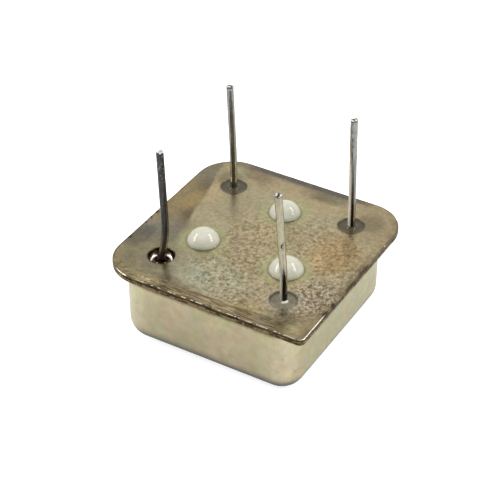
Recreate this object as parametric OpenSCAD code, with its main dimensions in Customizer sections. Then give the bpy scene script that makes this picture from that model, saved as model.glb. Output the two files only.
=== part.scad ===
// Quartz clock oscillator in a half-size four-lead metal can.
// It lies on the can's closed face, with its leads up along +Z.
// Lead 1 stands at the square flange corner, at +X and -Y.

/* [Can] */
// Outside width of the drawn can
can_w = 10.9; // [10.8:0.1:11.4]
// Height from the closed face to the mating face of the flange
can_h = 5.1; // [4.6:0.1:6.5]
// Thickness of the drawn sheet
sheet_t = 0.2; // [0.15:0.01:0.25]
// Radius of the upright corners
can_corner_r = 1.4; // [1.4:0.05:2]
// Radius where the walls turn into the closed face
crown_r = 1.3; // [0.6:0.05:1.35]
// Radius of the bend under the flange
root_r = 0.25; // [0.15:0.05:0.35]
// How far the body sits off the middle of its flange, along X
body_shift = -0.15; // [-0.2:0.05:0.2]

/* [Flange] */
// Width of the welded flange
flange_w = 12.7; // [12.5:0.1:13.2]
// Radius of the three round corners
flange_corner_r = 2.2; // [1.6:0.05:2.6]
// Radius of the corner that marks lead 1
index_corner_r = 0.35; // [0.3:0.05:0.8]
// Rounding of the outer edges that face away from the seam
edge_r = 0.1; // [0.05:0.01:0.12]
// Rounding of the edges that meet at the welded seam
seam_r = 0.04; // [0.02:0.01:0.05]

/* [Base plate] */
// Thickness of the welded rim
rim_t = 0.2; // [0.16:0.01:0.3]
// How far the platform steps down into the can
platform_h = 0.9; // [0.6:0.05:1.1]
// Clearance between the platform and the can's wall
platform_gap = 0.2; // [0.1:0.05:0.4]
// Diameter of the four lead holes
seat_d = 1.5; // [1.2:0.05:1.8]

/* [Leads] */
// Spacing of the leads along both sides
lead_pitch = 7.62; // [7.3:0.02:7.8]
// Diameter of the wire
lead_d = 0.42; // [0.36:0.01:0.5]
// Height of the lead tips above the plate
lead_reach = 6.65; // [5:0.05:9]
// Extra length of the lead at the supply corner
supply_extra = 0.1; // [0:0.05:0.5]
// Length of wire past the soldered substrate
lead_tail = 0.35; // [0.25:0.05:0.5]
// Chamfer left by the cutter on the tips
tip_chamfer = 0.06; // [0.02:0.01:0.1]

/* [Bends] */
// Heading of the sideways bends, from +X towards +Y
bend_heading = 30; // [0:1:360]
// Lean of the ground lead as it leaves its recess
ground_lean = 12; // [2:0.5:14]
// Bend that brings the ground lead upright again
ground_return = 13.5; // [2:0.5:14]
// Straight run of the ground lead between its two bends
ground_run = 0.45; // [0.1:0.05:0.5]
// Height over the plate where lead 1 starts to bend
enable_root = 1; // [0.3:0.1:2]
// Lean of the upper part of lead 1
enable_lean = 3.5; // [0.5:0.5:5]
// Height over the plate where the output lead starts to bend
output_root = 1.9; // [0.3:0.1:2]
// Lean of the upper part of the output lead
output_lean = 2; // [0.5:0.5:5]
// Height over the plate where the supply lead starts to bend
supply_root = 0.8; // [0.3:0.1:2]
// Lean of the upper part of the supply lead
supply_lean = 3.5; // [1.5:0.5:5]
// Heading of the supply lead's lean, from +X towards +Y
supply_heading = 130; // [0:1:360]
// Radius of the tight bend at the ground lead's recess
tight_bend_r = 0.6; // [0.5:0.1:1.5]
// Radius of the bend that brings the ground lead upright
return_bend_r = 8; // [5:0.5:12]
// Radius of the gentle bends of the other leads
gentle_bend_r = 16; // [10:1:20]
// How much a bend thins the wire
bend_thinning = 0.006; // [0.004:0.001:0.02]

/* [Seals] */
// Depth of the glass below the plate's face
glass_dip = 0.06; // [0.02:0.01:0.12]
// How far the glass climbs its lead
glass_climb = 0.12; // [0.08:0.01:0.2]
// Depth of the braze's edge below the plate's face
braze_dip = 0.2; // [0.1:0.05:0.3]
// Hollow of the braze between its hole and its lead
braze_sag = 0.22; // [0.1:0.02:0.26]

/* [Standoffs] */
// Radius of the circle that the domes stand on
standoff_circle_r = 3; // [2.4:0.1:3.4]
// Width of a dome at its foot
standoff_d = 1.9; // [1.4:0.05:2.2]
// Height of a dome
standoff_h = 0.7; // [0.4:0.05:0.9]

/* [Circuit] */
// Width of the square ceramic substrate
substrate_w = 9.4; // [9.2:0.1:9.6]
// Thickness of the substrate
substrate_t = 0.5; // [0.4:0.05:0.6]
// Gap between the platform and the substrate
substrate_gap = 0.4; // [0.3:0.05:0.5]
// Clearance round a lead in the substrate
lead_clearance = 0.08; // [0.05:0.01:0.12]
// Width of a solder joint on the substrate
solder_d = 1.1; // [0.9:0.05:1.3]
// Height of a solder joint along its lead
solder_h = 0.25; // [0.15:0.01:0.25]
// Length of the square silicon chip
chip_w = 1.3; // [1:0.1:1.8]
// Thickness of the silicon chip
chip_t = 0.3; // [0.2:0.05:0.4]
// Thickness of the bond under the chip
bond_t = 0.03; // [0.02:0.01:0.05]
// Length of the chip capacitor
capacitor_l = 2; // [1.6:0.1:2.2]
// Width of the chip capacitor
capacitor_w = 1.2; // [0.8:0.1:1.3]
// Thickness of the chip capacitor
capacitor_t = 0.7; // [0.5:0.05:0.8]
// Thickness of the capacitor's end caps
cap_wall = 0.05; // [0.03:0.01:0.08]
// How far the end caps wrap along the capacitor
cap_wrap = 0.4; // [0.25:0.05:0.5]

/* [Crystal] */
// Diameter of the quartz blank
blank_d = 7; // [6.4:0.1:7.2]
// Thickness of the quartz blank
blank_t = 0.17; // [0.12:0.01:0.25]
// Gap between the substrate and the blank
blank_gap = 1.2; // [0.95:0.05:1.3]
// Thickness of the clip strip
clip_t = 0.1; // [0.08:0.01:0.14]
// Length of a clip's foot on the substrate
clip_foot = 0.8; // [0.6:0.05:0.9]
// Depth of the blank's rim in a clip's slot
clip_bite = 0.06; // [0.04:0.01:0.08]
// Clearance round the blank in a clip's slot
slot_gap = 0.03; // [0.02:0.01:0.05]
// Width of metal left beside a clip's slot
clip_web = 0.35; // [0.25:0.05:0.45]
// How far a clip reaches past its slot
clip_lip = 0.45; // [0.4:0.05:0.6]
// Radius of a dab of silver cement
cement_r = 0.36; // [0.25:0.02:0.4]

/* [Hidden] */
$fn = 64;

// Corners in turn from -X -Y, counter-clockwise; the leads take the same order
CORNERS = [[-1, -1], [1, -1], [1, 1], [-1, 1]];
GROUND = CORNERS[0];
ENABLE = CORNERS[1];
SUPPLY = CORNERS[2];
OUTPUT = CORNERS[3];

// Levels along Z
plate_top = can_h + rim_t;
platform_z = can_h - platform_h;
substrate_top = platform_z - substrate_gap;
substrate_z = substrate_top - substrate_t;
blank_top = substrate_z - blank_gap;
blank_z = blank_top - blank_t;
lead_z = substrate_z - lead_tail;

// Outlines: the flange has one small corner, the can has four alike
flange_radii = [flange_corner_r, index_corner_r, flange_corner_r, flange_corner_r];
rim_band = index_corner_r / 2;
platform_inset = sheet_t + platform_gap;

// Laps of the flat sheets with the sections carried round them
edge_inset = (rim_band + max(edge_r, seam_r)) / 2;
floor_lap = (can_corner_r - crown_r) / 2;
floor_inset = crown_r + floor_lap / 2;
flange_lap = root_r / 2;
flange_start = root_r + flange_lap / 2;

// How far a cutter passes the faces that it opens
cut_past = 0.5;

// How far a straight run of wire reaches into the thinner bends beside it
bend_lap = 0.03;

// Radius of the glass collar's hollow, as a share of its climb
collar_share = 1.1;

// Directions of the three domes from the middle of the plate
LEFT_DOME = 210;
RIGHT_DOME = 330;
BACK_DOME = 90;

// Radii of the wire and of what grips it
lead_r = lead_d / 2;
seat_r = seat_d / 2;
substrate_hole_r = lead_r + lead_clearance;

// Clip slot: as wide as the chord of the blank's rim that it takes
clip_x = blank_d / 2 - clip_bite;
slot_w = 2 * sqrt(pow(blank_d / 2, 2) - pow(clip_x, 2)) + 2 * slot_gap;
clip_w = slot_w + 2 * clip_web;
clip_h = blank_gap + blank_t + slot_gap + clip_lip;

// The four same radii of a plain rounded square
function all_corners(r) = [r, r, r, r];

// Each radius of a list taken in by d
function inset(radii, d) = [for (r = radii) r - d];

// Square of width w with its own radius at each corner
module outline(w, radii) {
    half = w / 2;
    polygon([
        for (i = [0:3])
            let (s = CORNERS[i], r = radii[i], on_x = [s.x * half, s.y * (half - r)],
                 on_y = [s.x * (half - r), s.y * half])
                each (i % 2 == 0 ? [on_x, on_y] : [on_y, on_x])
    ]);
    for (i = [0:3])
        translate(CORNERS[i] * (half - radii[i]))
            circle(radii[i]);
}

// Carries a section, drawn as [outwards, up] from the outline, round that outline.
// Each quarter runs from the middle of one side, round its corner, to the middle of the next.
module carry_round(w, radii) {
    for (i = [0:3]) {
        straight = w / 2 - radii[i];
        rotate(90 * i + 180) {
            translate([straight, straight])
                rotate_extrude(angle = 90)
                    translate([radii[i], 0])
                        children();
            translate([straight, straight, 0])
                half_side(straight, radii[i])
                    children();
            rotate(90)
                translate([straight, 0, 0])
                    half_side(straight, radii[i])
                        children();
        }
    }
}

// Section drawn along -Y for half a side, at the reach of the corner's radius
module half_side(length, reach) {
    rotate([90, 0, 0])
        linear_extrude(length)
            translate([reach, 0])
                children();
}

// Quarter of a flat ring between two radii, in the quadrant that starts at an angle
module quarter_ring(r_in, r_out, start) {
    rotate(start)
        intersection() {
            difference() {
                circle(r_out);
                circle(r_in);
            }
            square(r_out);
        }
}

// Section of a sheet's cut edge, with its own rounding below and above
module cut_edge(t, r_below, r_above) {
    translate([-rim_band, 0])
        square([rim_band - r_below, r_below]);
    translate([-rim_band, r_below])
        square([rim_band, t - r_below - r_above]);
    translate([-rim_band, t - r_above])
        square([rim_band - r_above, r_above]);
    translate([-r_below, r_below])
        quarter_ring(0, r_below, 270);
    translate([-r_above, t - r_above])
        quarter_ring(0, r_above, 0);
}

// Section of the can: crown, wall and the bend out to the flange.
// A flat lap at each end reaches into the closed face and into the flange.
module can_section() {
    wall_top = can_h - sheet_t - root_r;
    translate([-crown_r - floor_lap, 0])
        square([floor_lap, sheet_t]);
    translate([-crown_r, crown_r])
        quarter_ring(crown_r - sheet_t, crown_r, 270);
    translate([-sheet_t, crown_r])
        square([sheet_t, wall_top - crown_r]);
    translate([root_r, wall_top])
        quarter_ring(root_r, root_r + sheet_t, 90);
    translate([root_r, can_h - sheet_t])
        square([flange_lap, sheet_t]);
}

// Flat part of a flange sheet, inside its cut edge
module flange_flat() {
    outline(flange_w - 2 * edge_inset, inset(flange_radii, edge_inset));
}

// Moves what belongs to the can's body off the middle of the flange
module on_body() {
    translate([body_shift, 0])
        children();
}

module can() {
    color([0.74, 0.70, 0.58]) {
        on_body() {
            linear_extrude(sheet_t)
                outline(can_w - 2 * floor_inset, all_corners(can_corner_r - floor_inset));
            carry_round(can_w, all_corners(can_corner_r))
                can_section();
        }
        translate([0, 0, can_h - sheet_t]) {
            linear_extrude(sheet_t)
                difference() {
                    flange_flat();
                    on_body()
                        outline(can_w + 2 * flange_start, all_corners(can_corner_r + flange_start));
                }
            carry_round(flange_w, flange_radii)
                cut_edge(sheet_t, edge_r, seam_r);
        }
    }
}

module base_plate() {
    color([0.55, 0.52, 0.44])
        difference() {
            union() {
                translate([0, 0, can_h]) {
                    linear_extrude(rim_t)
                        flange_flat();
                    carry_round(flange_w, flange_radii)
                        cut_edge(rim_t, seam_r, edge_r);
                }
                translate([0, 0, platform_z])
                    linear_extrude(platform_h)
                        on_body()
                            outline(can_w - 2 * platform_inset, all_corners(can_corner_r - platform_inset));
            }
            for (corner = CORNERS)
                at_lead(corner)
                    translate([0, 0, platform_z - cut_past])
                        cylinder(r = seat_r, h = platform_h + rim_t + 2 * cut_past);
        }
}

// Moves a piece to the lead at a corner
module at_lead(corner) {
    translate(corner * lead_pitch / 2)
        children();
}

// Glass bead with a small collar where it wets the lead
module glass_seal(corner) {
    glass_top = plate_top - glass_dip;
    collar_r = collar_share * glass_climb;
    color([0.50, 0.49, 0.46])
        at_lead(corner)
            rotate_extrude()
                translate([lead_r, 0]) {
                    translate([0, platform_z])
                        square([seat_r - lead_r, glass_top - platform_z]);
                    difference() {
                        translate([0, glass_top])
                            square(glass_climb);
                        translate([collar_r, glass_top + collar_r])
                            circle(collar_r);
                    }
                }
}

module seal_enable() {
    glass_seal(ENABLE);
}

module seal_supply() {
    glass_seal(SUPPLY);
}

module seal_output() {
    glass_seal(OUTPUT);
}

// Braze that fills the ground hole and hollows between the hole and the lead
module ground_braze() {
    half_gap = (seat_r - lead_r) / 2;
    hollow_r = (pow(half_gap, 2) + pow(braze_sag, 2)) / (2 * braze_sag);
    braze_top = plate_top - braze_dip;
    color([0.42, 0.33, 0.22])
        at_lead(GROUND)
            rotate_extrude()
                difference() {
                    translate([lead_r, platform_z])
                        square([2 * half_gap, braze_top - platform_z]);
                    translate([lead_r + half_gap, braze_top + hollow_r - braze_sag])
                        circle(hollow_r);
                }
}

// Bend of a wire from +Z towards a heading; what follows goes on from its end
module wire_bend(angle, heading, radius) {
    rotate(heading) {
        translate([radius, 0, 0])
            rotate([90, 0, 180])
                rotate_extrude(angle = angle)
                    translate([radius, 0])
                        circle(lead_r - bend_thinning / 2);
        translate([radius * (1 - cos(angle)), 0, radius * sin(angle)])
            rotate([0, angle, 0])
                rotate(-heading)
                    children();
    }
}

// Straight run of wire from a bend, or from the inner end; what follows goes on from its end
module wire_run(length, before = bend_lap) {
    translate([0, 0, -before])
        cylinder(r = lead_r, h = before + length + bend_lap);
    translate([0, 0, length])
        children();
}

// Last run of a wire, with its tip chamfered by the cutter
module wire_tip(length) {
    translate([0, 0, -bend_lap])
        cylinder(r = lead_r, h = bend_lap + length - tip_chamfer);
    translate([0, 0, length - tip_chamfer])
        cylinder(r1 = lead_r, r2 = lead_r - tip_chamfer, h = tip_chamfer);
}

// Stands a wire at its corner, from its soldered inner end
module lead_at(corner) {
    color([0.62, 0.60, 0.55])
        at_lead(corner)
            translate([0, 0, lead_z])
                children();
}

// Rise of the wire over a bend
function bend_rise(angle, radius) = radius * sin(angle);

// Length of wire from its inner end to a height over the plate
function wire_to(height) = plate_top + height - lead_z;

// Lead that stands straight to a height over the plate and leans from there
module leaning_lead(corner, root, lean, heading, reach) {
    upper = reach - root - bend_rise(lean, gentle_bend_r);
    lead_at(corner)
        wire_run(wire_to(root), 0)
            wire_bend(lean, heading, gentle_bend_r)
                wire_tip(upper);
}

module lead_enable() {
    leaning_lead(ENABLE, enable_root, enable_lean, bend_heading + 180, lead_reach);
}

module lead_output() {
    leaning_lead(OUTPUT, output_root, output_lean, bend_heading + 180, lead_reach);
}

module lead_supply() {
    leaning_lead(SUPPLY, supply_root, supply_lean, supply_heading, lead_reach + supply_extra);
}

// Leans out of its recess and comes upright again over the plate
module lead_ground() {
    upper = lead_reach + braze_dip - ground_run - bend_rise(ground_lean, tight_bend_r)
        - bend_rise(ground_return, return_bend_r);
    lead_at(GROUND)
        wire_run(wire_to(-braze_dip), 0)
            wire_bend(ground_lean, bend_heading, tight_bend_r)
                wire_run(ground_run)
                    wire_bend(ground_return, bend_heading + 180, return_bend_r)
                        wire_tip(upper);
}

// Dome of glass fused on the plate, as a cap of a ball
module glass_dome(angle) {
    foot_r = standoff_d / 2;
    ball_r = (pow(foot_r, 2) + pow(standoff_h, 2)) / (2 * standoff_h);
    color([0.86, 0.86, 0.82])
        rotate(angle)
            translate([standoff_circle_r, 0, plate_top])
                rotate_extrude()
                    intersection() {
                        translate([0, standoff_h - ball_r])
                            circle(ball_r);
                        square([ball_r, standoff_h]);
                    }
}

module standoff_left() {
    glass_dome(LEFT_DOME);
}

module standoff_right() {
    glass_dome(RIGHT_DOME);
}

module standoff_back() {
    glass_dome(BACK_DOME);
}

module substrate() {
    color([0.92, 0.91, 0.88])
        difference() {
            translate([0, 0, substrate_z + substrate_t / 2])
                cube([substrate_w, substrate_w, substrate_t], center = true);
            for (corner = CORNERS)
                at_lead(corner)
                    translate([0, 0, substrate_z - cut_past])
                        cylinder(r = substrate_hole_r, h = substrate_t + 2 * cut_past);
        }
}

// Solder that fills each hole round its lead and ends in a cone on the inner face
module solder_joints() {
    color([0.72, 0.72, 0.70])
        for (corner = CORNERS)
            at_lead(corner)
                rotate_extrude() {
                    translate([lead_r, substrate_z])
                        square([lead_clearance, substrate_t]);
                    polygon([
                        [lead_r, substrate_z],
                        [solder_d / 2, substrate_z],
                        [substrate_hole_r, substrate_z - solder_h],
                        [lead_r, substrate_z - solder_h]
                    ]);
                }
}

module chip_bond() {
    color([0.70, 0.70, 0.68])
        translate([0, 0, substrate_z - bond_t / 2])
            cube([chip_w, chip_w, bond_t], center = true);
}

module oscillator_chip() {
    color([0.28, 0.29, 0.33])
        translate([0, 0, substrate_z - bond_t - chip_t / 2])
            cube([chip_w, chip_w, chip_t], center = true);
}

// Places the chip capacitor between the two leads at the back
module at_capacitor() {
    translate([0, lead_pitch / 2, substrate_z - capacitor_t / 2])
        children();
}

// Ceramic body, stepped in under the end caps
module bypass_capacitor() {
    core = [capacitor_l, capacitor_w, capacitor_t] - 2 * cap_wall * [1, 1, 1];
    color([0.62, 0.50, 0.36])
        at_capacitor() {
            cube(core, center = true);
            cube([capacitor_l - 2 * cap_wrap, capacitor_w, capacitor_t], center = true);
        }
}

module capacitor_caps() {
    core = [capacitor_l, capacitor_w, capacitor_t] - 2 * cap_wall * [1, 1, 1];
    color([0.78, 0.77, 0.74])
        at_capacitor()
            difference() {
                cube([capacitor_l, capacitor_w, capacitor_t], center = true);
                cube(core, center = true);
                cube([capacitor_l - 2 * cap_wrap, 2 * capacitor_w, 2 * capacitor_t], center = true);
            }
}

module crystal_blank() {
    color([0.88, 0.92, 0.93])
        translate([0, 0, blank_z])
            cylinder(d = blank_d, h = blank_t);
}

// Strip bent to an L, foot on the substrate, with a slot that takes the blank's rim
module spring_clip() {
    color([0.76, 0.72, 0.60])
        difference() {
            rotate([90, 0, 0])
                linear_extrude(clip_w, center = true)
                    translate([clip_x, substrate_z]) {
                        translate([2 * clip_t, -2 * clip_t])
                            quarter_ring(clip_t, 2 * clip_t, 90);
                        translate([2 * clip_t, -clip_t])
                            square([clip_foot - 2 * clip_t, clip_t]);
                        translate([0, -clip_h])
                            square([clip_t, clip_h - 2 * clip_t]);
                    }
            translate([clip_x, 0, blank_z + blank_t / 2])
                cube([3 * clip_t, slot_w, blank_t + 2 * slot_gap], center = true);
        }
}

module clip_right() {
    spring_clip();
}

module clip_left() {
    mirror([1, 0, 0])
        spring_clip();
}

// Quarter ball in the corner between the blank and a clip
module cement_dab() {
    color([0.66, 0.66, 0.64])
        intersection() {
            translate([clip_x, 0, blank_z])
                sphere(cement_r);
            translate([clip_x - cement_r, -cement_r, blank_z - cement_r])
                cube([cement_r, 2 * cement_r, cement_r]);
        }
}

module cement_right() {
    cement_dab();
}

module cement_left() {
    mirror([1, 0, 0])
        cement_dab();
}

can();
base_plate();
seal_enable();
seal_supply();
seal_output();
ground_braze();
lead_enable();
lead_ground();
lead_output();
lead_supply();
standoff_left();
standoff_right();
standoff_back();
substrate();
solder_joints();
oscillator_chip();
chip_bond();
bypass_capacitor();
capacitor_caps();
crystal_blank();
clip_left();
clip_right();
cement_left();
cement_right();
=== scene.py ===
# %% [markdown]
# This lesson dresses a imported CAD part: a quartz clock oscillator in a half-size metal can.
# It lies on the closed face of its can with four leads up, as such parts lie on a bench.
# It keeps to the CAD's sizes and places within a tenth of a millimetre.
# Blender adds what the solids leave out:
# tarnish, the burnt weld, cut wire ends and the way each metal takes the light.

# %% Load the frame
import math

import bmesh
import bpy
import numpy as np
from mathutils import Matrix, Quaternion, Vector


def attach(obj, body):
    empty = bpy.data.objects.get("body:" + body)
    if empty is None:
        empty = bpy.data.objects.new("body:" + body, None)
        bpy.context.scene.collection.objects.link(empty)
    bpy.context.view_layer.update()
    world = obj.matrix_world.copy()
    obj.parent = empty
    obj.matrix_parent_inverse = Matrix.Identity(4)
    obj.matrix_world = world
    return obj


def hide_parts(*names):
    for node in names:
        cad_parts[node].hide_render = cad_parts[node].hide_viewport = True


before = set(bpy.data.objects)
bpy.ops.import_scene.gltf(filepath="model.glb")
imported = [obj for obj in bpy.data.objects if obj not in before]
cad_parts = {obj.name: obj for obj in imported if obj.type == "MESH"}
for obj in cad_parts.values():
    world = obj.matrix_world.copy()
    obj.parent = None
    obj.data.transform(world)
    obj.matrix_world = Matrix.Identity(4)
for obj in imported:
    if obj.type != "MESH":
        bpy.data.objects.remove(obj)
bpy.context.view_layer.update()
MM = 0.001

# %% [markdown]
# The camera stands where a fit to the photo puts it: a little to the right of the front edge
# and well above the bench. A long lens keeps the upright leads nearly parallel.
# The small shift moves the frame and not the view, so the leads stay upright.

# %% Camera
PLATE_TOP = 5.3
CAMERA_TURN, CAMERA_RISE = math.radians(30.385), math.radians(36.481)
CAMERA_FAR = 85.53
LENS_MM, SENSOR_MM = 112.14, 36.0
FRAME_SHIFT = (-0.0148, -0.0198)

towards_camera = Vector((
    math.sin(CAMERA_TURN) * math.cos(CAMERA_RISE),
    -math.cos(CAMERA_TURN) * math.cos(CAMERA_RISE),
    math.sin(CAMERA_RISE),
))
lens = bpy.data.cameras.new("camera")
lens.lens, lens.sensor_width = LENS_MM, SENSOR_MM
lens.shift_x, lens.shift_y = FRAME_SHIFT
lens.clip_start, lens.clip_end = 0.001, 10.0
camera = bpy.data.objects.new("camera", lens)
camera.location = (Vector((0, 0, PLATE_TOP)) + towards_camera * CAMERA_FAR) * MM
camera.rotation_mode = "QUATERNION"
camera.rotation_quaternion = towards_camera.to_track_quat("Z", "Y")
scene = bpy.context.scene
scene.collection.objects.link(camera)
scene.camera = camera
scene.view_settings.view_transform = "Standard"
print("camera at", [round(x / MM, 1) for x in camera.location], "mm")

# %% [markdown]
# A finish is a recipe of nodes, and most of it is arithmetic. Drawing that by hand gives a tangle,
# so one small class wraps an output socket. Its operators add the Math nodes,
# and its node method makes any other node, with its settings first and its inputs after.
# A recipe then reads like the sum that it is.

# %% A socket that can be reckoned with
class Signal:
    """An output socket of a node tree that takes part in Python sums."""

    def __init__(self, tree, socket=None):
        self.tree, self.socket = tree, socket

    def node(self, kind, inputs=(), out=0, stops=(), **settings):
        """Make a node, set it up, fill its inputs by name or number and give one of its outputs."""
        made = self.tree.nodes.new("ShaderNode" + kind)
        for name, value in settings.items():
            setattr(made, name, value)
        for i, (place, colour) in enumerate(stops):
            ramp = made.color_ramp.elements
            stop = ramp[i] if i < len(ramp) else ramp.new(place)
            stop.position, stop.color = place, (*colour, 1)
        for name, value in dict(inputs).items():
            if isinstance(value, Signal):
                self.tree.links.new(value.socket, made.inputs[name])
            else:
                made.inputs[name].default_value = value
        return Signal(self.tree, made.outputs[out])

    def to_output(self, kind):
        """Lead this shader to the tree's output."""
        self.tree.links.new(self.socket, self.tree.nodes.new("ShaderNodeOutput" + kind).inputs["Surface"])

    def math(self, operation, *values):
        return self.node("Math", dict(enumerate(values)), operation=operation)

    def __add__(self, other):
        return self.math("ADD", self, other)

    def __sub__(self, other):
        return self.math("SUBTRACT", self, other)

    def __rsub__(self, other):
        return self.math("SUBTRACT", other, self)

    def __mul__(self, other):
        return self.math("MULTIPLY", self, other)

    def __truediv__(self, other):
        return self.math("DIVIDE", self, other)

    def __pow__(self, other):
        return self.math("POWER", self, other)

    def __abs__(self):
        return self.math("ABSOLUTE", self)

    __radd__, __rmul__ = __add__, __mul__

    def least(self, other):
        return self.math("MINIMUM", self, other)

    def most(self, other):
        return self.math("MAXIMUM", self, other)

    def between(self, low, high):
        """0 below low, 1 above high, with a soft step between; low above high turns it round."""
        return self.node("MapRange", {"Value": self, "From Min": low, "From Max": high},
                         interpolation_type="SMOOTHSTEP")

    def tint(self, under, over, blend="MIX"):
        """Colour under where this mask is 0, over where it is 1."""
        full = [c if isinstance(c, Signal) else (*c, 1) for c in (under, over)]
        return self.node("Mix", {0: self, 6: full[0], 7: full[1]}, out=2,
                         data_type="RGBA", blend_type=blend)


print("signals ready")

# %% [markdown]
# Product light is wide and even: two long soft boxes that lean back, and white paper all round.
# The world gives an even fill, and the floor is white paper.
# Polished metal shows its surroundings, so camera, glossy and glass rays all meet the same white.
# Only the room behind the camera is darker, as in any studio. It is what the wires mirror low down,
# by way of the plate, and without it round metal looks like grey plastic.

# %% Surroundings
WORLD_FILL, DARK_ROOM = 0.70, 0.66
LAMP_FAR, LAMP_SIZE, LAMP_WATTS, LAMP_LEAN = 130, (34, 120), 0.082, 53


def rays(start):
    """Two signals: 1 for rays from the camera, and 1 for rays from a mirror or through glass."""
    path = [start.node("LightPath", out=name)
            for name in ("Is Camera Ray", "Is Glossy Ray", "Is Transmission Ray")]
    return path[0], path[1] + path[2]


world = bpy.data.worlds.new("white_room")
world.use_nodes = True
world.node_tree.nodes.clear()
room = Signal(world.node_tree)
camera_ray, mirror_ray = rays(room)
heading = room.node("TexCoord", out="Generated")
to_front = (math.sin(CAMERA_TURN), -math.cos(CAMERA_TURN), 0)
front = room.node("VectorMath", {0: heading, 1: to_front}, out="Value", operation="DOT_PRODUCT")
height = room.node("SeparateXYZ", {0: heading}, out=2)
dark = front.between(0.0, 0.55) * height.between(0.08, 0.30) * height.between(0.98, 0.85)
fill = WORLD_FILL + camera_ray * (1 - WORLD_FILL) + mirror_ray * (1 - WORLD_FILL - dark * DARK_ROOM)
room.node("Background", {"Color": (1, 1, 1, 1), "Strength": fill}).to_output("World")
scene.world = world


def soft_box(name, towards, lean):
    """A long lamp that faces the plate from a direction, turned about it by an angle in degrees."""
    lamp = bpy.data.lights.new(name, "AREA")
    lamp.shape, lamp.energy = "RECTANGLE", LAMP_WATTS
    lamp.size, lamp.size_y = (side * MM for side in LAMP_SIZE)
    stand = bpy.data.objects.new(name, lamp)
    away = Vector(towards).normalized()
    stand.location = (Vector((0, 0, PLATE_TOP)) + away * LAMP_FAR) * MM
    stand.rotation_mode = "QUATERNION"
    stand.rotation_quaternion = away.to_track_quat("Z", "Y") @ Quaternion((0, 0, 1), math.radians(lean))
    stand.visible_camera = False
    scene.collection.objects.link(stand)


soft_box("soft_box_left", (-0.74, -0.32, 0.60), LAMP_LEAN)
soft_box("soft_box_right", (0.60, 0.38, 0.68), -LAMP_LEAN)

# %% [markdown]
# Every piece below is a band of rings: a grid whose rows are closed curves.
# Where a row shrinks to a point, merging its vertices closes the end, and bands that share an edge
# are joined by the same merge. One helper turns such grids into a mesh, so that the shapes
# themselves stay pure arithmetic on arrays.

# %% From grids to a piece
MERGE_WITHIN, CREASE = 2e-8, math.radians(40)


def band_faces(rows, ring, first):
    """Four-cornered faces between each pair of neighbouring rows, wrapping round the ring."""
    row, step = np.meshgrid(np.arange(rows - 1), np.arange(ring), indexing="ij")
    here, after = row * ring + step, row * ring + (step + 1) % ring
    return first + np.stack([here, after, after + ring, here + ring], -1).reshape(-1, 4)


def make_piece(name, bands, finish, stands_for=(), facing=None):
    """One closed mesh from bands of rings in mm, with its finish and the nodes it stands for.
    facing is a vector for each point that the finish may read."""
    points = np.concatenate([b.reshape(-1, 3) for b in bands]) * MM
    starts = np.cumsum([0] + [b.shape[0] * b.shape[1] for b in bands[:-1]])
    faces = np.concatenate([band_faces(b.shape[0], b.shape[1], s) for b, s in zip(bands, starts)])
    mesh = bpy.data.meshes.new(name)
    mesh.from_pydata(points, [], faces)
    if facing is not None:
        mesh.attributes.new("facing", "FLOAT_VECTOR", "POINT").data.foreach_set("vector", facing.ravel())
    work = bmesh.new()
    work.from_mesh(mesh)
    bmesh.ops.remove_doubles(work, verts=work.verts, dist=MERGE_WITHIN)
    bmesh.ops.recalc_face_normals(work, faces=work.faces)
    open_edges = sum(not e.is_manifold for e in work.edges)
    work.to_mesh(mesh)
    work.free()
    mesh.polygons.foreach_set("use_smooth", np.ones(len(mesh.polygons), bool))
    mesh.set_sharp_from_angle(angle=CREASE)
    mesh.materials.append(finish)
    piece = bpy.data.objects.new(name, mesh)
    scene.collection.objects.link(piece)
    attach(piece, "root")
    if stands_for:
        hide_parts(*stands_for)
    print(f"{name}: {len(mesh.vertices)} points, {len(mesh.polygons)} faces, {open_edges} open edges")


print("points merge within", MERGE_WITHIN / MM, "mm")

# %% [markdown]
# Each finish starts the same way: a Principled shader and the place on the piece in millimetres.
# Object coordinates are used because a piece's place is in its mesh, so a pattern given in the CAD's
# own millimetres lands where the CAD says.

# %% Start of a finish
def start_finish(name, **constants):
    """A material with its shader's fixed values set, and the place on the piece in mm: as a vector
    and as x, y, z."""
    material = bpy.data.materials.new(name)
    material.use_nodes = True
    shader = material.node_tree.nodes["Principled BSDF"]
    for socket, value in constants.items():
        shader.inputs[socket.replace("_", " ")].default_value = value
    signal = Signal(material.node_tree)
    metres = signal.node("TexCoord", out="Object")
    place = signal.node("VectorMath", {0: metres, 1: (1 / MM,) * 3}, operation="MULTIPLY")
    axes = [signal.node("SeparateXYZ", {0: place}, out=i) for i in range(3)]
    return material, shader, place, axes


def feed(shader, **signals):
    """Link worked-out signals to the shader's sockets."""
    for socket, signal in signals.items():
        signal.tree.links.new(signal.socket, shader.inputs[socket.replace("_", " ")])


def grain(place, per_mm, detail=3.0, rough=0.55, out="Fac", stretch=(1, 1, 1)):
    """Cloudy noise with that many lumps to a millimetre, drawn out along an axis by stretch below 1."""
    scaled = place.node("VectorMath", {0: place, 1: stretch}, operation="MULTIPLY")
    return place.node("TexNoise", {"Vector": scaled, "Scale": per_mm, "Detail": detail, "Roughness": rough},
                      out=out)


def relief(height, depth_mm, strength=1.0):
    """A normal from a height signal whose full step is a depth in mm."""
    return height.node("Bump", {"Height": height, "Distance": depth_mm * MM, "Strength": strength})


print("patterns count in mm,", round(1 / MM), "to a metre")

# %% [markdown]
# The paper floor is not part of the object. Its glow is for rays that look at it; a ray that only
# gathers light meets plain paint, and no light is added to the part.

# %% Floor
FLOOR_REACH, FLOOR_DROP = 0.6, -0.00001
FLOOR_PAINT, CAMERA_GLOW, MIRROR_GLOW = 0.80, 0.70, 0.20

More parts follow.
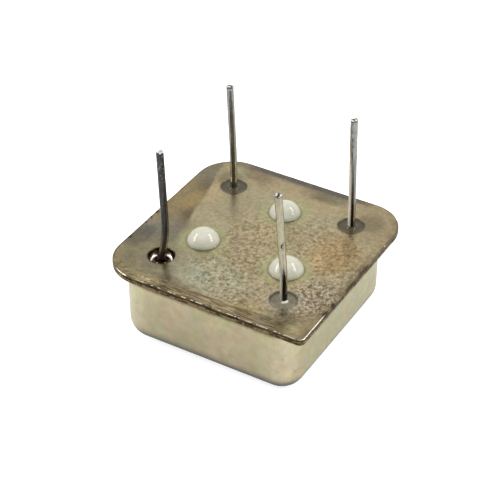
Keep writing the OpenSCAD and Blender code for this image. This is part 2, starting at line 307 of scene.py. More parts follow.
paper = bpy.data.materials.new("paper")
paper.use_nodes = True
paper.node_tree.nodes.clear()
sheet = Signal(paper.node_tree)
camera_ray, mirror_ray = rays(sheet)
painted = sheet.node("BsdfDiffuse", {"Color": (FLOOR_PAINT,) * 3 + (1,)})
glowing = sheet.node("Emission", {"Strength": camera_ray * CAMERA_GLOW + mirror_ray * MIRROR_GLOW})
sheet.node("AddShader", {0: painted, 1: glowing}).to_output("Material")
floor_mesh = bpy.data.meshes.new("floor")
corner_signs = np.array([(-1, -1, 0), (1, -1, 0), (1, 1, 0), (-1, 1, 0)])
floor_mesh.from_pydata(corner_signs * FLOOR_REACH + (0, 0, FLOOR_DROP), [], [(0, 1, 2, 3)])
floor_mesh.materials.append(paper)
floor = bpy.data.objects.new("floor", floor_mesh)
scene.collection.objects.link(floor)
print("floor", 2 * FLOOR_REACH, "m wide")

# %% [markdown]
# The can and the plate share one family of outlines: squares with rounded corners. The flange has a
# sharp corner beside lead 1, as such cans usually have. A ring walks each side from diagonal to diagonal,
# so rings of different sizes match point for point and can be lofted.

# %% Rounded square rings
PER_SIDE = 128


def rounded_rings(half, radii, z, per_side=PER_SIDE):
    """One ring per row. A side is half an arc, a straight run and half an arc, walked at an even pace;
    turning it by quarter turns gives the other sides. half and z have a value per row, radii four per row."""
    half, z = np.broadcast_arrays(np.atleast_1d(half).astype(float), z)
    radii = np.broadcast_to(np.maximum(radii, 1e-9), (len(half), 4))
    half, start, end = half[:, None, None], radii[:, :, None], np.roll(radii, -1, 1)[:, :, None]
    first, straight = start * np.pi / 4, 2 * half - start - end
    pace = np.arange(per_side) / per_side
    walked = pace * (first + straight + end * np.pi / 4)
    turn_in = np.radians(225) + walked / start
    turn_out = np.radians(270) + (walked - first - straight) / end
    pieces = [walked < first, walked > first + straight]
    x = np.select(pieces, [start - half + start * np.cos(turn_in), half - end + end * np.cos(turn_out)],
                  start - half + walked - first)
    y = np.select(pieces, [start - half + start * np.sin(turn_in), end - half + end * np.sin(turn_out)],
                  -half)
    turn = np.arange(4)[None, :, None] * np.pi / 2
    around = np.stack([x * np.cos(turn) - y * np.sin(turn), x * np.sin(turn) + y * np.cos(turn)], -1)
    flat = around.reshape(len(half), -1, 2)
    return np.concatenate([flat, np.broadcast_to(z[:, None, None], (*flat.shape[:2], 1))], -1)


def ripple(x, y, wavelength, seed, waves=9):
    """Soft unevenness of pressed sheet from -1 to 1: the mean of sine waves of about one length,
    each with its own heading and start."""
    draw = np.random.default_rng(seed)
    heading, start = draw.uniform(0, 2 * np.pi, (2, waves))
    rate = 2 * np.pi / (wavelength * draw.uniform(0.7, 1.4, waves))
    across = x[..., None] * np.cos(heading) + y[..., None] * np.sin(heading)
    return np.sin(across * rate + start).mean(-1)


print("ring points:", 4 * PER_SIDE)

# %% [markdown]
# The can is one sheet of nickel-plated steel, drawn deep in a press: closed face, wide crown,
# wall, a tight bend and the flange. Its section goes round the outline once, outside and then inside,
# so the mesh is the sheet itself with its thickness. A real wall is never dead flat: a soft ripple
# of a hundredth of a millimetre is enough for the reflections to wander.

# %% Can
CAN_HALF, CAN_CORNER, CROWN, SHEET, ROOT = 5.45, 1.4, 1.3, 0.2, 0.25
BODY_SHIFT = (-0.15, 0, 0)
# The flange is 0.015 mm inside the CAD's, as a fit to the outline puts it; the weld cord takes up the
# difference
CAN_TOP, FLANGE_HALF = 5.1, 6.335
FLANGE_CORNERS = np.array([2.2, 0.35, 2.2, 2.2])
EDGE, SEAM_EDGE = 0.1, 0.04
LONG_SWELL, SHORT_SWELL, SWELL_FADE = 0.014, 0.006, 0.6
WALL_TOP = CAN_TOP - SHEET - ROOT


def quarter(count):
    """Angles of a quarter turn."""
    return np.linspace(0, np.pi / 2, count)


def can_rings(offset, z):
    """Rings at an offset outwards from the can's outline."""
    offset = np.atleast_1d(offset).astype(float)
    return rounded_rings(CAN_HALF + offset, (CAN_CORNER + offset)[:, None], z) + BODY_SHIFT


def flange_rings(offset, z):
    """Rings at an offset outwards from the flange's outline."""
    offset = np.atleast_1d(offset).astype(float)
    return rounded_rings(FLANGE_HALF + offset, FLANGE_CORNERS + offset[:, None], z)


def sheet_edge(bottom, thickness, below, above):
    """The cut edge of a flange sheet from its lower to its upper face, each corner a quarter circle."""
    turn = quarter(6)
    offset = np.concatenate([below * (np.sin(turn) - 1), above * (np.cos(turn) - 1)])
    z = np.concatenate([bottom + below * (1 - np.cos(turn)), bottom + thickness - above * (1 - np.sin(turn))])
    return flange_rings(offset, z)


def between_rings(a, b, count):
    """Rings that go evenly from one ring to another, without either."""
    share = np.linspace(0, 1, count + 2)[1:-1, None, None]
    return a[None] * (1 - share) + b[None] * share


def shrinking(ring, count):
    """Rings that shrink evenly from a ring to its middle."""
    share = np.linspace(1, 0, count + 1)[1:, None, None]
    return ring[None] * np.array([1, 1, 0]) * share + ring[None] * np.array([0, 0, 1])


crown_turn, bend_turn = quarter(14), quarter(8)
crown = can_rings(CROWN * (np.sin(crown_turn) - 1), CROWN * (1 - np.cos(crown_turn)))
wall = can_rings(0, np.linspace(CROWN, WALL_TOP, 22)[1:-1])
bend = can_rings(ROOT * (1 - np.cos(bend_turn)), WALL_TOP + ROOT * np.sin(bend_turn))
edge = sheet_edge(CAN_TOP - SHEET, SHEET, EDGE, SEAM_EDGE)
skin = np.concatenate([shrinking(crown[0], 10)[::-1], crown, wall, bend,
                       between_rings(bend[-1], edge[0], 3), edge])
side = np.arctan2(skin[..., 1], skin[..., 0]) * CAN_HALF
swell = LONG_SWELL * ripple(side, skin[..., 2], 4.5, 3) + SHORT_SWELL * ripple(side, skin[..., 2], 1.6, 4)
swell *= np.clip(skin[..., 2] / CROWN, 0, 1) * np.clip((WALL_TOP - skin[..., 2]) / SWELL_FADE, 0, 1)
skin[..., :2] *= 1 + (swell / CAN_HALF)[..., None]

inner_bend = can_rings(ROOT - (ROOT + SHEET) * np.sin(bend_turn),
                       WALL_TOP + (ROOT + SHEET) * np.cos(bend_turn))
inner_crown = can_rings(-SHEET - (CROWN - SHEET) * (1 - np.cos(crown_turn)),
                        CROWN - (CROWN - SHEET) * np.sin(crown_turn))
lining = np.concatenate([inner_bend, inner_crown, shrinking(inner_crown[-1], 3)])
can_band = np.concatenate([skin, lining])
print("can section:", len(can_band), "rings")

# %% [markdown]
# Satin nickel takes its colour from what it mirrors, so the finish keeps to a warm metal with a fine
# tooth. It is cloudy with pinkish and greenish films and small ticks. Painted light and shade stand in
# for some of what it mirrors: each side and height has its own tone, the round corners get a painted
# highlight, the lower curve is darkened with painted shade, and so are the bend under the flange and the
# wall below it, in brown. The flange edge is burnt tan and brown. Soft masks in the CAD's millimetres paint
# this.

# %% Can finish
def can_nickel():
    """Wall tones by side and height and a highlight on the corners, all painted light; cloudy hues, ticks at
    the corners, a dull crown darkened with painted shade, painted shade below the flange, a burnt flange.
    """
    material, shader, place, (x, y, z) = start_finish("can_nickel", Metallic=1.0)
    cloud = grain(place, 0.5, 4.0)
    upright = grain(place, 2.2, 3.0, 0.6, stretch=(1, 1, 0.3))
    fine = grain(place, 9.0, 3.0, 0.6)
    # Painted light: a tone for each side and height, lighter towards the top, and a painted highlight on the
    # round corners.
    long_wall = z.between(1.0, 4.6).tint((0.455, 0.40, 0.272), (0.485, 0.435, 0.275))
    long_side = abs(y).between(5.0, 5.35)
    colour = long_side.tint((0.515, 0.48, 0.308), long_wall)
    corner = abs(x - BODY_SHIFT[0]).between(3.2, 5.0) * abs(y).between(3.6, 5.2)
    colour = (corner * 0.7).tint(colour, x.between(1.0, -1.0).tint((0.575, 0.51, 0.35), (0.75, 0.68, 0.50)))
    colour = (cloud.between(0.50, 0.70) * 0.5).tint(colour, (0.54, 0.445, 0.29))
    colour = (cloud.between(0.48, 0.30) * 0.5).tint(colour, (0.455, 0.45, 0.285))
    hues = grain(place, 0.9, 3.0, 0.6, out="Color", stretch=(1, 1, 0.7))
    colour = (upright * 0.30).tint(colour, hues, "OVERLAY")
    film = grain(place, 1.7, 4.0, 0.7)
    veil = film.between(0.30, 0.70).tint((0.38, 0.38, 0.37), (0.62, 0.61, 0.58))
    colour = (cloud * 0.8).tint(colour, veil, "OVERLAY")
    colour = (upright.between(0.46, 0.32) * 0.16).tint(colour, (0.34, 0.32, 0.20))
    colour = (fine.between(0.58, 0.72) * 0.12).tint(colour, (0.22, 0.19, 0.12))
    tick = grain(place, 4.5, 2.0, 0.6, stretch=(1, 1, 0.45)).between(0.64, 0.70) * corner
    colour = (tick * 0.45).tint(colour, (0.24, 0.20, 0.12))
    # Painted shade: the crown darkens downwards, and a bluish dark line runs along its lowest part.
    crown = (z + (cloud - 0.5) * 0.3).between(1.35, 0.50)
    colour = (crown * 0.82).tint(colour, (0.185, 0.16, 0.12))
    colour = (z.between(1.00, 0.55) * 0.88).tint(colour, (0.105, 0.112, 0.105))
    scale = grain(place, 2.2, 4.0, 0.7, stretch=(1, 1, 0.5))
    # Painted shade: darker on the long walls below the flange and in the bend under it.
    shade = (z + (scale - 0.5) * 0.3).between(CAN_TOP - 1.22, CAN_TOP - 0.96) * long_side
    colour = (shade * 0.75).tint(colour, (0.095, 0.064, 0.024))
    shade = z.between(CAN_TOP - 0.50, CAN_TOP - 0.24)
    colour = (shade * 0.85).tint(colour, (0.075, 0.052, 0.028))
    flange_edge = z.between(CAN_TOP - 0.19, CAN_TOP - 0.16)
    tan = scale.between(0.42, 0.58).tint((0.24, 0.175, 0.085), (0.06, 0.039, 0.013))
    colour = flange_edge.tint(colour, tan)
    # Painted shade along the underside of the flange edge.
    under = (z + (scale - 0.5) * 0.16).between(CAN_TOP - 0.10, CAN_TOP - 0.14)
    under = under * z.between(CAN_TOP - 0.24, CAN_TOP - 0.20)
    colour = (under * 0.9).tint(colour, (0.032, 0.021, 0.008))
    rough = 0.27 + cloud * 0.10 + crown * 0.08
    height = upright * 0.4 + fine * 0.6
    feed(shader, Base_Color=colour, Roughness=rough, Normal=relief(height, 0.006, 0.5))
    return material


make_piece("can_shell", [can_band], can_nickel(), ["can"])

# %% [markdown]
# The base plate closes the can. Its rim is squeezed thin against the flange and welded all round, and the
# four leads come up through holes in it. A plate with holes is no single band of rings, so it
# is cut into four quarters, each a band from a hole's edge to the quarter's border, and one band
# for the rim, the edge and the platform below. Merging the shared borders makes it one closed solid.
# The welding electrode left shallow tracks beside the edge; they are in the mesh, because
# light that slides along a plate shows them.

# %% Base plate
LEAD_AT, SEAT = 3.81, 0.75
CORE_HALF, CORE_CORNER = 4.85, 0.8
PLATFORM_LOW, PLATFORM_GROW = 4.2, 0.2
HOLE_ROUND = 0.035
FACE_ROWS, ROW_CROWDING, RIM_ROWS = 26, 1.4, 60
TRACK, TRACK_DEPTH = 0.17, 0.018
LONG_WAVE, SHORT_WAVE, FACE_DROP = 0.010, 0.004, 0.030


def edge_distance(x, y):
    """Distance inwards from the flange's edge: the corner's radius, less how far past the corner's middle
    a place is."""
    radius = np.where((x > 0) & (y < 0), FLANGE_CORNERS[1], FLANGE_CORNERS[0])
    past_x, past_y = abs(x) - FLANGE_HALF + radius, abs(y) - FLANGE_HALF + radius
    return (radius - np.hypot(np.maximum(past_x, 0), np.maximum(past_y, 0))
            - np.minimum(np.maximum(past_x, past_y), 0))


def plate_height(x, y):
    """Unevenness of the upper face in mm: soft waves that die out at the edge, and narrow streaks
    drawn out along the front edge, as a rough electrode leaves them."""
    d = edge_distance(x, y)
    waves = LONG_WAVE * ripple(x, y, 5.0, 11) + SHORT_WAVE * ripple(x, y, 1.5, 12)
    along = np.clip((1.15 - d) / 0.3, 0, 1) * np.clip((-y - 4.2) / 0.6, 0, 1)
    along *= np.clip((5.3 - x) / 0.8, 0, 1) * np.clip((x + 4.8) / 1.5, 0, 1)
    streaks = ripple(0.10 * x, y, TRACK, 13) + 0.6 * ripple(0.3 * x, y, 0.6 * TRACK, 14)
    return (waves - FACE_DROP + TRACK_DEPTH * streaks * along) * np.clip((d - 0.08) / 0.3, 0, 1)


def on_plate(points):
    """The points with the upper face's unevenness added."""
    lifted = points.copy()
    lifted[..., 2] += plate_height(points[..., 0], points[..., 1])
    return lifted


def quarter_border(core, turn):
    """Border of one quarter of the plate: from the middle out along X, round the core's corner
    and back along Y."""
    middle = PER_SIDE + PER_SIDE // 2
    outside = core[middle:middle + PER_SIDE + 1, :2]
    share = np.linspace(0, 1, PER_SIDE // 2 + 1)[:, None]
    border = np.concatenate([outside[:1] * share[:-1], outside[:-1], outside[-1:] * (1 - share[:-1])])
    c, s = round(math.cos(turn)), round(math.sin(turn))
    return border @ np.array([[c, s], [-s, c]])


def plate_quarter(core, turn):
    """Band over one quarter: border, upper face, rounded hole edge, hole wall and lower face
    to the border."""
    border = quarter_border(core, turn)
    hole = LEAD_AT * np.array([math.cos(turn) - math.sin(turn), math.sin(turn) + math.cos(turn)])
    ray = border - hole
    ray /= np.linalg.norm(ray, axis=1, keepdims=True)
    share = np.linspace(1, 0, FACE_ROWS)[:, None, None] ** ROW_CROWDING
    rounding = quarter(5)[1:, None, None]
    lip = hole + ray * (SEAT + HOLE_ROUND)
    top = lip * (1 - share) + border * share
    edge_out = hole + ray * (SEAT + HOLE_ROUND * (1 - np.sin(rounding)))
    low = hole + ray * SEAT
    under = low * (1 - share[::-6]) + border * share[::-6]
    under[-1] = border

    def at(flat, z):
        return np.concatenate([flat, np.broadcast_to(z, (*flat.shape[:2], 1))], -1)

    upper = on_plate(at(top, PLATE_TOP))
    round_part = at(edge_out, 0.0)
    round_part[..., 2:] = upper[-1:, :, 2:] - HOLE_ROUND * (1 - np.cos(rounding))
    return np.concatenate([upper, round_part, at(under, PLATFORM_LOW)])


core_top = rounded_rings(CORE_HALF, CORE_CORNER, PLATE_TOP)[0]
core_low = rounded_rings(CORE_HALF, CORE_CORNER, PLATFORM_LOW)[0]
platform = rounded_rings(CORE_HALF + PLATFORM_GROW, CORE_CORNER + PLATFORM_GROW,
                         np.linspace(PLATFORM_LOW, CAN_TOP, 4)) + BODY_SHIFT
rim_edge = sheet_edge(CAN_TOP, PLATE_TOP - CAN_TOP, SEAM_EDGE, 0.6 * EDGE)
rim_top = on_plate(np.concatenate([between_rings(rim_edge[-1], core_top, RIM_ROWS), core_top[None]]))
rim_band = np.concatenate([core_low[None], platform, rim_edge, rim_top])
plate_bands = [rim_band] + [plate_quarter(core_top, q * math.pi / 2) for q in range(4)]
print("plate bands:", [b.shape for b in plate_bands])

# %% [markdown]
# The plate is the face of this part, and its plating is tarnished:
# brown and grey clouds, gold near the welds, and a fine crackle of bright lines and dark specks over
# the middle and the right. Painted light and shade lie over the tarnish. All of it is painted by place,
# in the CAD's millimetres. The recipe is long, so it is kept in three layers: clouds, wear, and what
# the weld did to the rim. First come the masks that the layers share.

# %% Plate finish: masks
HOLES = [(sx * LEAD_AT, sy * LEAD_AT) for sx in (-1, 1) for sy in (-1, 1)]
FRONT_WAY = to_front[:2]
SHADE_CORE = 0.15
DOMES = {"left": ((-2.557, -1.49), 0.915, 0.71), "right": ((2.665, -1.488), 0.965, 0.71),
         "back": ((0.0, 3.06), 0.90, 0.66)}


def patch(x, y, at, reach, core=0.0):
    """A soft oval mask: 1 inside its core, 0 at its reach."""
    dx, dy = (x - at[0]) / reach[0], (y - at[1]) / reach[1]
    return (dx * dx + dy * dy).between(1.0, core)


def spread(x, y, at):
    """Distance in mm from a place."""
    dx, dy = x - at[0], y - at[1]
    return (dx * dx + dy * dy) ** 0.5


def inland(x, y):
    """Distance inwards from the flange's edge, as edge_distance gives it for points."""
    index = x.math("GREATER_THAN", x, 0.0) * y.math("LESS_THAN", y, 0.0)
    radius = FLANGE_CORNERS[0] - index * (FLANGE_CORNERS[0] - FLANGE_CORNERS[1])
    past_x, past_y = abs(x) - FLANGE_HALF + radius, abs(y) - FLANGE_HALF + radius
    outside = (past_x.most(0) ** 2 + past_y.most(0) ** 2) ** 0.5
    return radius - outside - past_x.most(past_y).least(0)


def frontward(x, y, at):
    """Distance in mm from a place towards the front."""
    return (x - at[0]) * FRONT_WAY[0] + (y - at[1]) * FRONT_WAY[1]


def paint_light_and_shade(x, y, colour, shades):
    """Painted light and shade: the colour made darker or lighter inside soft ovals, each with a middle,
    a reach and a gain.
    """
    for at, reach, gain in shades:
        colour = patch(x, y, at, reach, SHADE_CORE).tint(colour, (gain,) * 3, "MULTIPLY")
    return colour


print("holes at", HOLES)

# %% [markdown]
# The first layer is the tarnish itself, with painted light and shade over it. Two lists hold soft ovals
# on the plate: tones that cover what is under them, and painted light and shade that only make it darker
# or lighter. Noise breaks up some borders, and each dome has a greenish halo and a ring of painted shade
# at its foot. A band along the left edge, brown to gold, is a painted reflection.

# %% Plate finish: clouds
# Each tone: middle, reach, core, strength and colour
CLOUDS = (
    ((-0.8, -4.0), (3.8, 2.0), 0.1, 0.8, (0.415, 0.398, 0.280)),
    ((-1.1, -4.2), (1.0, 0.6), 0.0, 0.5, (0.33, 0.395, 0.305)),
    ((-3.0, 1.4), (1.6, 2.0), 0.1, 0.6, (0.38, 0.342, 0.212)),
    ((4.3, 1.0), (1.9, 2.3), 0.0, 0.8, (0.40, 0.275, 0.125)),
    ((1.0, 4.6), (3.2, 1.1), 0.0, 0.5, (0.45, 0.355, 0.215)),
    ((5.4, -5.2), (1.5, 1.3), 0.0, 0.7, (0.225, 0.182, 0.096)),
    ((2.6, -5.4), (1.1, 0.45), 0.0, 0.6, (0.40, 0.35, 0.14)),
    ((5.2, -5.75), (0.6, 0.4), 0.0, 0.6, (0.42, 0.37, 0.19)),
    ((4.7, -2.4), (1.2, 1.5), 0.0, 0.5, (0.21, 0.165, 0.098)),
    ((4.6, 4.6), (1.8, 1.8), 0.0, 0.35, (0.30, 0.26, 0.16)),
    ((-4.9, -1.6), (1.5, 2.0), 0.2, 0.7, (0.235, 0.215, 0.165)),
    ((-6.0, -2.7), (1.0, 1.7), 0.0, 0.6, (0.27, 0.265, 0.235)),
    ((-4.4, -4.4), (1.7, 1.0), 0.0, 0.6, (0.19, 0.17, 0.115)),
    ((-5.6, -5.0), (1.3, 1.6), 0.0, 0.7, (0.33, 0.29, 0.165)),
)
# Painted light and shade, each: middle, reach and gain
LIGHT_AND_SHADE = (
    ((-3.2, 5.6), (1.3, 0.8), 0.70), ((1.6, 5.6), (1.4, 0.8), 0.66), ((-4.5, 4.5), (0.9, 0.9), 0.66),
    ((4.6, 4.5), (1.1, 1.1), 0.70), ((-5.8, -0.3), (0.8, 0.9), 0.70), ((-5.8, -2.8), (0.8, 1.4), 0.66),
    ((5.8, -3.3), (0.8, 1.0), 0.66), ((4.4, -4.8), (1.3, 1.1), 0.80), ((4.25, -4.62), (0.36, 0.45), 0.62),
    ((-2.2, -5.6), (2.2, 0.7), 0.70), ((-4.6, -3.2), (3.6, 3.4), 0.74), ((-4.9, 2.6), (1.2, 1.4), 1.2),
    ((-1.5, 0.8), (2.6, 1.1), 1.10), ((1.1, 0.0), (1.1, 0.9), 1.06), ((3.4, -0.1), (1.0, 0.9), 1.15),
    ((0.7, 5.5), (1.3, 0.8), 0.82), ((3.7, -2.2), (1.4, 0.9), 1.3), ((-4.4, -4.4), (0.9, 0.9), 1.3),
)


def plate_clouds(place, x, y):
    """Base tones of the tarnish, from place to place, with painted light and shade, a painted shadow ring
    round each dome's foot and a painted reflection in a band along the left edge.
    """
    cloud = grain(place, 0.35, 4.0, 0.6)
    mottle = grain(place, 1.4, 4.0, 0.65)
    colour = cloud.between(0.35, 0.65).tint((0.365, 0.294, 0.170), (0.388, 0.342, 0.217))
    for at, reach, core, strength, tone in CLOUDS:
        colour = (patch(x, y, at, reach, core) * strength).tint(colour, tone)
    colour = (mottle.between(0.50, 0.70) * 0.5).tint(colour, (0.41, 0.315, 0.19))
    colour = (mottle.between(0.47, 0.30) * 0.5).tint(colour, (0.235, 0.225, 0.13))
    colour = paint_light_and_shade(x, y, colour, LIGHT_AND_SHADE)
    for at, radius, rise in DOMES.values():
        halo = (spread(x, y, at) + (mottle - 0.5) * 0.5).between(radius + 0.85, radius + 0.25)
        colour = (halo * 0.55).tint(colour, (0.40, 0.405, 0.215))
        # Painted shade: a dark ring round the foot of each dome.
        foot = spread(x, y, at).between(radius + 0.16, radius) * (1.1 - rise) * 1.3
        colour = foot.tint(colour, (0.14, 0.13, 0.075))
    # Painted reflection: a band along the left edge, brown to gold, greyer to the back, with a gold patch.
    edge = x + y * 0.226 + 4.33 + (cloud - 0.5) * 0.6
    left = edge.between(0.15, -0.15) * y.between(-1.4, 0.2)
    band = edge.between(-0.1, -1.3).tint((0.125, 0.103, 0.062), (0.275, 0.215, 0.112))
    band = y.between(2.6, 4.8).tint(band, (0.20, 0.185, 0.13))
    band = (patch(x, y, (-5.05, 1.6), (0.8, 1.4)) * 0.7).tint(band, (0.37, 0.27, 0.11))
    colour = (left * 0.92).tint(colour, band)
    back = (y + (cloud - 0.5) * 0.4).between(5.55, 6.0) * x.between(4.2, 1.0)
    colour = (back * 0.75).tint(colour, (0.195, 0.165, 0.115))
    rear = (y + (cloud - 0.5) * 0.3).between(5.80, 6.05) * x.between(-4.5, -3.0) * x.between(4.6, 3.0)
    return (rear * 0.75).tint(colour, (0.105, 0.098, 0.096)), cloud, mottle


print("clouds:", len(CLOUDS), "tones and", len(LIGHT_AND_SHADE), "shades")

# %% [markdown]
# The second layer is wear. A net of pale lines comes from the borders of Voronoi cells, bent by noise so that
# they look torn and not drawn. Dark specks sit between them. Both fade near the domes and to the left.

# %% Plate finish: wear
def plate_wear(place, x, y, colour):
    """Crackle, strongest over the middle and the right: uneven hues, fine salt and pepper, dark specks
    and pale lines."""
    worn = patch(x, y, (2.2, -1.4), (6.8, 5.8), 0.25) * grain(place, 0.8, 3.0).between(0.20, 0.48)
    worn = worn * x.between(-4.2, -1.0)
    for at, radius, _ in DOMES.values():
        worn = worn * spread(x, y, at).between(radius, radius + 0.7)
    hues = grain(place, 1.1, 3.0, 0.65, out="Color")
    colour = (worn * 0.05 + 0.06).tint(colour, hues, "OVERLAY")
    fine = grain(place, 5.0, 4.0, 0.7)
    pepper = fine.between(0.30, 0.70).tint((0.17, 0.14, 0.09), (0.84, 0.83, 0.80))
    colour = (worn * 0.45 + 0.22).tint(colour, pepper, "OVERLAY")
    bent = place.node("VectorMath", {0: place, 1: grain(place, 2.4, 2.0, out="Color")}, operation="ADD")
    net = place.node("TexVoronoi", {"Vector": bent, "Scale": 5.0}, feature="DISTANCE_TO_EDGE")
    blot = grain(place, 4.4, 3.0, 0.65)
    crackled = patch(x, y, (5.1, -2.9), (1.7, 1.9), 0.25)
    speckled = patch(x, y, (1.0, -4.4), (2.6, 1.3), 0.2).most(crackled)
    specks = blot.between(0.53, 0.61) * worn
    lines = net.between(0.16, 0.04) * blot.between(0.57, 0.45) * worn
    colour = (crackled * 0.45).tint(colour, (0.21, 0.16, 0.095))
    colour = (lines * (0.18 + crackled * 0.70)).tint(colour, (0.64, 0.56, 0.44))
    colour = (specks * (0.34 + speckled * 0.40)).tint(colour, (0.12, 0.086, 0.045))
    return colour, specks, lines


print("wear keeps off", len(DOMES), "domes")

# %% [markdown]
# The third layer is the rim beside the weld: brown streaks along the front, a black line where
# the sheets meet, gold with a painted glint at the left corner, painted light and shade along the edge,
# painted shadow on the lips round the holes, and a painted highlight in bright dashes on the edge.

# %% Plate finish: rim
# Painted light and shade on stretches of the front edge and the left corner: middle, reach and gain
EDGE_LIGHT_AND_SHADE = (
    ((4.0, -5.75), (1.5, 0.55), 0.72), ((1.4, -5.9), (1.4, 0.5), 1.20), ((-3.4, -5.9), (0.9, 0.5), 1.30),
    ((5.6, -5.6), (0.5, 0.5), 1.18), ((-4.5, -5.1), (1.5, 1.3), 0.85),
)


def plate_rim(place, x, y, z, colour):
    """Streaks along the front, brown beside the edge, gold with a painted glint at the left corner, painted
    light and shade, painted shadow on the hole lips, the burnt edge and a painted highlight on it."""
    from_edge = inland(x, y)
    d = from_edge + (grain(place, 0.7, 2.0) - 0.5) * 0.10
    broken = grain(place, 1.5, 3.0, 0.6, stretch=(0.45, 0.45, 1))
    streak = grain(place, 8.5, 3.0, 0.65, stretch=(0.12, 1, 1))
    front = (d + (broken - 0.5) * 0.6 - x * 0.03).between(0.88, 0.50)
    front = front * y.between(-4.3, -5.0) * x.between(5.4, 4.2)
    burnt = streak.between(0.42, 0.58).tint((0.070, 0.046, 0.022), (0.50, 0.41, 0.235))
    colour = (front * x.between(-5.4, -3.0) * 0.85).tint(colour, burnt)
    colour = (front * 0.38).tint(colour, (0.22, 0.158, 0.075))
    for at, half in ((0.70, 0.10), (0.28, 0.07)):
        scorch = abs(d + (streak - 0.5) * 0.3 - at).between(half, half * 0.4) * y.between(-4.9, -5.2)
        scorch = scorch * x.between(-2.5, -0.5) * x.between(5.2, 4.4) * broken.between(0.40, 0.52)
        colour = (scorch * 0.65).tint(colour, (0.085, 0.058, 0.028))
    side = d.between(0.62, 0.12) * x.between(4.6, 5.4) * broken.between(0.62, 0.40)
    colour = (side * 0.65).tint(colour, (0.17, 0.118, 0.058))
    corner = (x + y).between(-7.6, -9.0) * d.between(0.95, 0.5) * y.between(-5.05, -5.55)
    spots = grain(place, 3.6, 3.0, 0.65)
    gold = spots.between(0.40, 0.60).tint((0.180, 0.138, 0.064), (0.345, 0.288, 0.148))
    colour = (corner * 0.70).tint(colour, gold)
    glint = abs(d - 0.42).between(0.06, 0.0) * corner * spots.between(0.50, 0.58)
    colour = (glint * 0.55).tint(colour, (0.72, 0.64, 0.44))
    colour = paint_light_and_shade(x, y, colour, EDGE_LIGHT_AND_SHADE)
    # Painted shadow on each hole's lip, stronger on its far half.
    for at in HOLES:
        far_half = frontward(x, y, at).between(0.2, -0.3)
        lip = spread(x, y, at).between(SEAT + 0.10, SEAT + 0.02) * (0.25 + far_half * 0.6)
        colour = lip.tint(colour, (0.075, 0.062, 0.04))
    beside = spread(x, y, HOLES[2])
    pale = beside.between(SEAT + 0.45, SEAT + 0.15) * beside.between(SEAT, SEAT + 0.1)
    colour = (pale * 0.35).tint(colour, (0.45, 0.395, 0.32))
    outer = from_edge.between(0.15, 0.05)
    edge_tone = broken.between(0.36, 0.58).tint((0.042, 0.031, 0.019), (0.16, 0.124, 0.07))
    colour = (outer * 0.9).tint(colour, edge_tone)
    splotch = grain(place, 1.6, 3.0, 0.6).between(0.56, 0.61)
    splotch = splotch * from_edge.between(0.24, 0.12) * y.between(2.0, 0.0)
    colour = (splotch * 0.85).tint(colour, (0.022, 0.015, 0.008))
    # Painted highlight: bright dashes on the edge's rounding, fuller at the index corner.
    edge_highlight = patch(x, y, (6.3, -5.2), (0.5, 1.5), 0.3).most(broken.between(0.56, 0.64) * 0.7)
    dashes = grain(place, 3.2, 2.0, 0.6).between(0.47, 0.56)
    edge_highlight = edge_highlight.most(y.between(-5.8, -6.2) * dashes * 0.9)
    line = abs(from_edge - 0.05).between(0.030, 0.012)
    colour = (edge_highlight * line).tint(colour, (0.86, 0.80, 0.64))
    seam = z.between(PLATE_TOP - 0.045, PLATE_TOP - 0.075)
    black = broken.between(0.60, 0.70).tint((0.024, 0.013, 0.002), (0.20, 0.14, 0.065))
    scale = grain(place, 2.2, 4.0, 0.7)
    tan = scale.between(0.42, 0.58).tint((0.25, 0.18, 0.085), (0.05, 0.032, 0.010))
    below = (z + (scale - 0.5) * 0.26).between(PLATE_TOP - 0.14, PLATE_TOP - 0.165)
    return (seam * 0.95).tint(colour, below.tint(black, tan)), seam


print("edge shades:", len(EDGE_LIGHT_AND_SHADE))

# %% [markdown]
# The layers stack: tarnish below, wear over it, the rim on top. The same masks also steer the gloss and
# a fine relief, so a speck is not only darker than the plate but duller and a little deeper too.

# %% Plate finish: all layers
def base_nickel():
    """Clouds, wear and rim, one over the other, with gloss and relief from their masks."""
    material, shader, place, (x, y, z) = start_finish("base_nickel", Metallic=1.0)
    colour, cloud, mottle = plate_clouds(place, x, y)
    colour, specks, lines = plate_wear(place, x, y, colour)
    colour, seam = plate_rim(place, x, y, z, colour)
    rough = 0.24 + cloud * 0.10 + lines * 0.12 + specks * 0.15 + seam * 0.15
    height = grain(place, 14.0, 3.0) * 0.3 + lines * 0.6 - specks * 0.5 + mottle * 0.4
    feed(shader, Base_Color=colour, Roughness=rough, Normal=relief(height, 0.006, 0.7))
    return material


make_piece("header_plate", plate_bands, base_nickel(), ["base_plate"])

# %% [markdown]
# Resistance welding squeezes a little molten metal out of the seam. It cools as a thin, lumpy, burnt
# cord between the two sheets, with larger drops here and there. The cord follows the edge's outline; its
# section is an oval whose size comes from soft noise over the plan, so it has no visible start or end.

# %% Weld cord
WELD_IN, WELD_PER_SIDE = 0.03, 560
CORD_THIN, CORD_DROPS, CORD_LUMPS = 0.012, 0.018, 0.055
CORD_PAST, CORD_TALL = 0.012, 1.25


